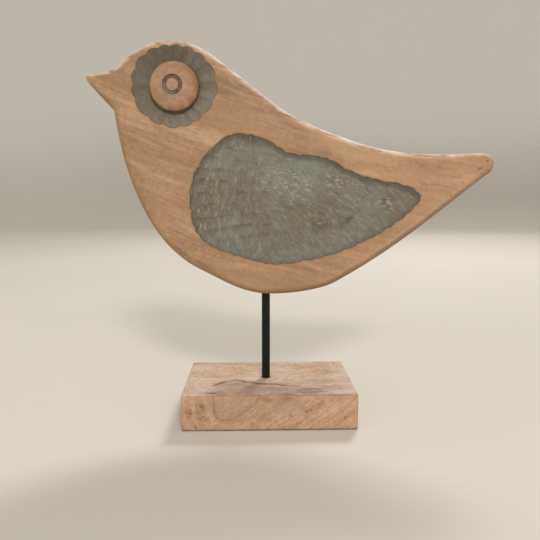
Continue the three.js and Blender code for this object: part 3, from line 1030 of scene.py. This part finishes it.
def pupil_stain_and_highlight():
    """Brown-grey stain in the pupil groove, with a paler painted highlight at its lower left."""
    stain = Finish("pupil_dark", 0.7, PUPIL_BROWN)
    speckle = stain.noise(stain.place, 2.2, 4, 0.65)
    middle = pupil_centre.sum()
    # Painted highlight toward the groove's lower left
    stain.coat(stain.band(stain.plus(stain.x, stain.z), middle - 2, middle - 8), PUPIL_HIGHLIGHT)
    stain.vein(speckle, 0.5, PUPIL_DARK, PUPIL_PALE)
    stain.bump(speckle, 0.15)
    return stain.done()


def block_wood():
    """Limewashed wood of the block, paler on top with painted light: level streaks on top, arched rings
    on the front.
    """
    wood = Finish("block_wood", 0.78, BLOCK_TAN)
    grain = wood.join(wood.value_of("run"), 0, wood.value_of("ring"))
    bands = wood.noise(grain, (46, 60, 6), 5, 0.55)
    streaks = wood.noise(grain, (26, 10, 1.6), 4, 0.65)
    fine = wood.noise(grain, (9, 5, 0.6), 3, 0.65)
    grit = wood.noise(wood.place, 1.1, 3, 0.7)
    mottle = wood.noise(wood.place, 3.2, 4, 0.7)
    blotches = wood.noise(wood.place, 19, 4, 0.55)
    wash_and_light = wood.noise(wood.place, 30, 4, 0.6)
    wood.coat(wood.band(blotches, 0.44, 0.66), BLOCK_ROSY)
    for pattern, strength in ((bands, 0.38), (streaks, 0.3), (mottle, 0.38), (fine, 0.32), (grit, 0.26)):
        wood.vein(pattern, strength, BLOCK_DARK, BLOCK_PALE)
    top = wood.band(wood.looking_up(), 0.4, 0.9)
    wood.coat(wood.value_of("grey"), BLOCK_GREY)
    # Limewash on the top, with painted light that makes the top paler than the sides
    thin_lime_and_light = wood.band(streaks, 0.34, 0.6, 0.35, 1)
    wood.coat(wood.times(top, wood.band(wash_and_light, 0.36, 0.58, 0.15, 0.8), thin_lime_and_light), LIME_AND_TOP_LIGHT)
    wood.coat(wood.value_of("lilac"), LILAC)
    for pattern, strength in ((fine, 0.3), (mottle, 0.28), (grit, 0.3)):
        wood.vein(pattern, wood.band(top, 0, 1, 0, strength), BLOCK_DARK, BLOCK_PALE)
    wood.coat(wood.value_of("stain"), wood.mix(top, FRONT_STAIN, TOP_STAIN))
    # Marks, with painted shadow at the foot and round the rod
    wood.coat(wood.value_of("mark"), BLOCK_MARK_AND_SHADOW)
    wood.bump(wood.plus(streaks, wood.times(grit, 0.8)), 0.3)
    return wood.done()


def rod_black():
    """Black satin paint on the rod, with a faint orange-peel surface."""
    paint = Finish("rod_black", 0.5, ROD_DARK)
    paint.shader.inputs["Specular IOR Level"].default_value = 0.28
    worn = paint.noise(paint.place, (5, 5, 22), 4, 0.6)
    paint.coat(paint.band(worn, 0.42, 0.68), ROD_WORN)
    paint.bump(paint.noise(paint.place, 1.2, 2, 0.5), 0.06)
    return paint.done(paint.band(worn, 0.3, 0.7, 0.42, 0.58))


# Block and rod

BLOCK_ROUND = 1.4
BLOCK_SPACING = 0.85
# How far a point of the block has to look one way to belong to that side
FACING = 0.7
GROWTH_RING = (
    (-38.2, 25.6), (-37.6, 14), (-35.5, 9.3), (-32.4, 7.7), (-28, 8), (-23.6, 9.4), (-18.5, 12.2),
    (-14.8, 14.9), (-9.5, 19.6), (-5.4, 25.6),
)
SLANT = math.radians(36)
SLANT_SHIFT = 20.7
# Small holes in the front: place and size
PITS = (
    (-46.3, 17.3, 0.9), (-44.6, 16.2, 0.6), (-53.1, 12.5, 0.7), (-45.1, 10.3, 0.8), (-43.4, 8.6, 0.7),
    (-46.4, 8.2, 0.5), (33.7, 17.9, 0.7), (31.6, 16, 0.5), (25, 13.1, 0.7), (27.4, 14.6, 0.5),
    (35.1, 20.7, 0.6), (51, 8.6, 0.5), (-12, 4.2, 0.5), (-50, 3, 0.5), (14, 11, 0.5),
)
PIT_FLATNESS = 1.6**0.5
PIT_DEPTH = 0.6
CRACK = (
    (-41.6, -22), (-38.4, -17.8), (-31.8, -10.2), (-23.2, -7), (-15.1, -11.7), (-6.5, -15.3),
    (4.2, -16.7), (13.2, -20.2), (21.6, -21.5), (30, -27),
)
CRACK_WIDTH = 1.1
CRACK_DEPTH = 0.4
# Soft patches on the block: place, half length, half width and strength
FRONT_BLOTCHES = ((10, 18, 12, 6, 0.4), (-2, 9, 7, 4, 0.4))
FRONT_SMUDGES = (
    (-1, 22.6, 5, 2.6, 0.6), (8, 22.8, 6, 2, 0.6), (-46, 11, 3, 4.5, 0.6),
    (-55, 14, 2.5, 4, 0.6),
)
TOP_SMUDGES = (
    (4, -27, 20, 7, 0.3), (-20, -14, 14, 5, 0.25), (-39, -34.5, 8, 3.6, 0.75),
    (29, -31, 12, 8, 0.85), (10, -37.5, 8, 3.2, 0.6), (44, -24, 12, 5, 0.5),
    (34, -12, 16, 8, 0.4), (-30, 34, 22, 3, 0.35), (12, 30, 18, 4, 0.3),
    (46, 12, 9, 7, 0.3), (44, -39, 18, 1.2, 0.6),
)


def grid_places(low, high):
    """Places of grid lines along one edge of the block, closer together at its ends."""
    ends = BLOCK_ROUND * np.array((0, 0.2, 0.5))
    count = int((high - low) / BLOCK_SPACING)
    middle = np.linspace(low + BLOCK_ROUND, high - BLOCK_ROUND, count)
    return np.concatenate([low + ends, middle, high - ends[::-1]])


def block_surface():
    """Points over the rounded block, the way that each looks, and the faces between them."""
    axes = [grid_places(block_low[k], block_high[k]) for k in range(3)]
    last = [len(axis) - 1 for axis in axes]
    index, vertices, faces = {}, [], []

    def corner(i, j, k):
        if (i, j, k) not in index:
            index[i, j, k] = len(vertices)
            vertices.append((axes[0][i], axes[1][j], axes[2][k]))
        return index[i, j, k]

    for fixed in range(3):
        u, v = [axis for axis in range(3) if axis != fixed]
        for side in (0, last[fixed]):
            for a, b in np.ndindex(last[u], last[v]):
                quad = []
                for da, db in ((0, 0), (1, 0), (1, 1), (0, 1)):
                    place = [0, 0, 0]
                    place[fixed], place[u], place[v] = side, a + da, b + db
                    quad.append(corner(*place))
                outward = (side > 0) != (fixed == 1)
                faces.append(tuple(quad if outward else reversed(quad)))

    inner = np.clip(vertices, block_low + BLOCK_ROUND, block_high - BLOCK_ROUND)
    away = np.array(vertices) - inner
    away /= np.linalg.norm(away, axis=1)[:, None]
    return inner + away * BLOCK_ROUND, away, faces


def distance_to_path(points, path):
    """The distance of each point to an open line, and how far along the line that is."""
    gap, place = distance_to(points, np.array(path), closed=False)
    lengths = np.linalg.norm(np.diff(path, axis=0), axis=1)
    return gap, np.interp(place, np.arange(len(path)), np.append(0, np.cumsum(lengths)))


def front_grain(x, z):
    """Growth lines of the front: round the arched ring on the left, slanting on the right."""
    flat = np.stack([x, z], 1)
    gap, place = distance_to_path(flat, GROWTH_RING)
    signed = np.where(is_inside(flat, np.array(GROWTH_RING)), -gap, gap)
    right = share((x + 10) / 18)
    right = right**2 * (3 - 2 * right)
    slant_across = x * math.sin(SLANT) - z * math.cos(SLANT) + SLANT_SHIFT
    slant_along = x * math.cos(SLANT) + z * math.sin(SLANT) + SLANT_SHIFT
    across = signed * (1 - right) + slant_across * right
    return across, place * (1 - right) + slant_along * right, signed


def patches(u, v, areas):
    """Soft oval patches at each point, a row for each: place, half length, half width, strength."""
    return np.array([strength * np.exp(-((u - u_place) / long) ** 2 - ((v - v_place) / wide) ** 2)
                     for u_place, v_place, long, wide, strength in areas])


def crack_lines(points):
    """The drying crack in the top and the stain beside it, both broken and fading at the ends."""
    flat = points[:, :2]
    gap, place = distance_to_path(flat, CRACK)
    gap = gap + 0.25 * smooth_noise(flat, 5, SEED + 9)
    width = CRACK_WIDTH + 0.3 * smooth_noise(flat, 12, SEED + 10)
    fading = share(place / 6) * share((place.max() - place) / 22)
    fading *= np.clip(0.9 + 0.5 * smooth_noise(flat, 14, SEED + 17), 0.4, 1.2)
    return [np.exp(-(gap / reach) ** 2) * fading for reach in (np.maximum(width, 0.5), 3)]


def lilac_area(points):
    """Where the top before the crack is worn to a greyish lilac."""
    x, y, _ = points.T
    before_crack = share((np.interp(x, *np.array(CRACK).T) - y) / 8)
    ends = share((x + 44) / 12) * share((44 - x) / 30)
    return before_crack * ends * share(0.72 + 0.3 * smooth_noise(points, 11, SEED + 18))


def block_values(points, away):
    """How deep each point of the block sinks, and the values that its finish reads there."""
    x, y, z = points.T
    front, top = away[:, 1] < -FACING, away[:, 2] > FACING
    on_end, on_long_side, _ = np.abs(away.T) > FACING
    ragged = smooth_noise(points * (0.3, 1, 1), 4, SEED + 14)
    waves = smooth_noise(points, 26, SEED + 12)
    across, along, from_ring = front_grain(x, z)
    ring_line = np.exp(-((from_ring + 0.4 * smooth_noise(points, 9, SEED + 13)) / 0.7) ** 2)

    holes = patches(x, z, [(u, v, size, size / PIT_FLATNESS, 1) for u, v, size in PITS]) * front
    halos = patches(x, z, [(u, v, 3 * size, 3 * size, 0.5) for u, v, size in PITS]) * front
    crack, beside_crack = crack_lines(points)
    sink = 0.06 + 0.06 * smooth_noise(points, 28, SEED + 8)
    sink += PIT_DEPTH * (holes * np.array(PITS)[:, 2:]).sum(0) + CRACK_DEPTH * crack * top

    edge_line = share(1 - np.abs(away[:, 2] + away[:, 1]) / 0.5) * (away[:, 2] > 0.3)
    # Painted shadow along the foot of the block and round the rod on the top
    foot_shadow = np.exp(-((z - block_low[2]) / 1.1) ** 2) * (away[:, 2] > -0.9)
    from_rod = np.hypot(x - ROD_OFFSET, y)
    rod_shadow = np.exp(-np.maximum(from_rod - 3.2, 0) / 0.7) * top
    marks = [*(0.7 * holes), 0.9 * crack * top, 0.6 * edge_line * np.clip(0.8 + ragged, 0.2, 1)]
    marks += [0.85 * foot_shadow, 0.6 * rod_shadow]

    stains = [halos.max(0) * np.clip(1 + 1.8 * ragged, 0, 1.7), 0.45 * beside_crack * top]
    stains.append(patches(x, y, TOP_SMUDGES).max(0) * top * np.clip(1 + ragged, 0, 1.4))
    stains.append(patches(x, z, FRONT_SMUDGES).max(0) * front * np.clip(1 + 1.8 * ragged, 0, 1.6))
    stains.append(0.7 * ring_line * front)
    greys = [0.3 * share(-from_ring / 1.5) * front, *(patches(x, z, FRONT_BLOTCHES) * front)]
    return np.maximum(sink, 0), {
        "ring": np.where(on_long_side, across + 0.8 * waves, np.where(on_end, z, y) + 2 * waves),
        "run": np.where(on_long_side, along, np.where(on_end, y, x)),
        "grey": np.max(greys, axis=0), "lilac": lilac_area(points) * top,
        "stain": np.max(stains, axis=0), "mark": np.max(marks, axis=0),
    }


def make_block(material):
    """The block with rounded edges, pits and a crack, and values for its finish."""
    points, away, faces = block_surface()
    sink, values = block_values(points, away)
    piece = make_object("limed_block", points - away * sink[:, None], faces, [material])
    for name, value in values.items():
        set_attribute(piece, name, value)
    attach(piece, "root")
    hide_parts("block")


ROD_SIDES = 48
ROD_RINGS = 40


def ring_faces(rings, sides, first=0):
    """Four-sided faces between rings of points that follow one another."""
    faces = []
    for ring in range(rings - 1):
        for side in range(sides):
            a = first + ring * sides + side
            b = first + ring * sides + (side + 1) % sides
            faces.append((a, b, b + sides, a + sides))
    return faces


def make_rod(material):
    """The rod as a fine round bar, closed at both ends."""
    angles = np.linspace(0, 2 * math.pi, ROD_SIDES, endpoint=False)
    heights = np.linspace(rod_low[2], rod_high[2], ROD_RINGS)
    vertices = [(ROD_OFFSET + ROD_RADIUS * math.cos(angle), ROD_RADIUS * math.sin(angle), height)
                for height in heights for angle in angles]
    last = (ROD_RINGS - 1) * ROD_SIDES
    ends = [tuple(reversed(range(ROD_SIDES))), tuple(range(last, last + ROD_SIDES))]
    piece = make_object("painted_rod", vertices, ring_faces(ROD_RINGS, ROD_SIDES) + ends, [material])
    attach(piece, "root")
    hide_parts("rod")


# Studio, in metres

FLOOR_REACH = 2.7
FLOOR_BEND = 1.6
BACKDROP_TOP = 2.2
FLOOR_SIDES = 96
LAMP_TARGET = (0, 0, 0.14)
# Each lamp's place, width and power
LAMPS = {
    "key_lamp": ((0.3, -2.1, 1.5), 0.45, 31),
    "fill_lamp": ((-1.7, -1.6, 0.8), 0.9, 6),
    "back_lamp": ((0.7, 1.6, 1.9), 0.6, 30),
}
SURROUND_COLOUR = (1, 0.97, 0.93, 1)
SURROUND_STRENGTH = 0.42
CAMERA_PLACE = (-0.0095, -0.405, 0.1553)
CAMERA_TILT = 82.9
CAMERA_TURN = -1.49
CAMERA_LENS = 37.56
CAMERA_SENSOR = 36


def make_floor():
    """A pale floor that curves up all round into a backdrop, far outside the views."""
    turns = np.linspace(0, math.pi / 2, 16)
    profile = [(0.25, 0), (FLOOR_REACH, 0)]
    for turn in turns[1:]:
        profile.append((FLOOR_REACH + FLOOR_BEND * math.sin(turn), FLOOR_BEND * (1 - math.cos(turn))))
    profile.append((FLOOR_REACH + FLOOR_BEND, BACKDROP_TOP))
    vertices = [(0, 0, 0)]
    for radius, height in profile:
        for angle in np.linspace(0, 2 * math.pi, FLOOR_SIDES, endpoint=False):
            vertices.append((radius * math.cos(angle), radius * math.sin(angle), height))
    faces = [(0, 1 + side, 1 + (side + 1) % FLOOR_SIDES) for side in range(FLOOR_SIDES)]
    faces += [tuple(reversed(face)) for face in ring_faces(len(profile), FLOOR_SIDES, first=1)]
    paint = Finish("floor_paint_and_light", 0.9, FLOOR_PAINT)
    paint.coat(paint.band(paint.noise(paint.place, 900, 2), 0.3, 0.7), FLOOR_CLOUD)
    # Painted light: the backdrop grows paler with height, where the lamps' light falls off
    paint.coat(paint.band(paint.z, 20, 900), BACKDROP_PAINTED_LIGHT)
    floor = make_object("floor", np.array(vertices) / MM, faces, [paint.done()])


def make_lamps():
    """Soft square lamps that look at the object: two in front, one behind for the upper edges."""
    for name, (place, width, power) in LAMPS.items():
        lamp = bpy.data.objects.new(name, bpy.data.lights.new(name, "AREA"))
        bpy.context.scene.collection.objects.link(lamp)
        lamp.data.energy = power
        lamp.data.size = width
        lamp.location = place
        lamp.rotation_euler = (Vector(LAMP_TARGET) - Vector(place)).to_track_quat("-Z", "Y").to_euler()


def make_surround():
    """Even light from all sides."""
    world = bpy.data.worlds.new("studio")
    bpy.context.scene.world = world
    world.use_nodes = True
    background = world.node_tree.nodes["Background"]
    background.inputs["Color"].default_value = SURROUND_COLOUR
    background.inputs["Strength"].default_value = SURROUND_STRENGTH


def make_camera():
    """The photograph's view, solved from the block's corners."""
    data = bpy.data.cameras.new("camera")
    camera = bpy.data.objects.new("camera", data)
    bpy.context.scene.collection.objects.link(camera)
    data.sensor_width = CAMERA_SENSOR
    data.lens = CAMERA_LENS
    camera.location = CAMERA_PLACE
    camera.rotation_euler = (math.radians(CAMERA_TILT), 0, math.radians(CAMERA_TURN))
    bpy.context.scene.camera = camera


make_camera()
make_bird([bird_wood(), carving_grey(), pupil_stain_and_highlight()])
make_block(block_wood())
make_rod(rod_black())
make_floor()
make_lamps()
make_surround()
bpy.context.scene.view_settings.view_transform = "Standard"
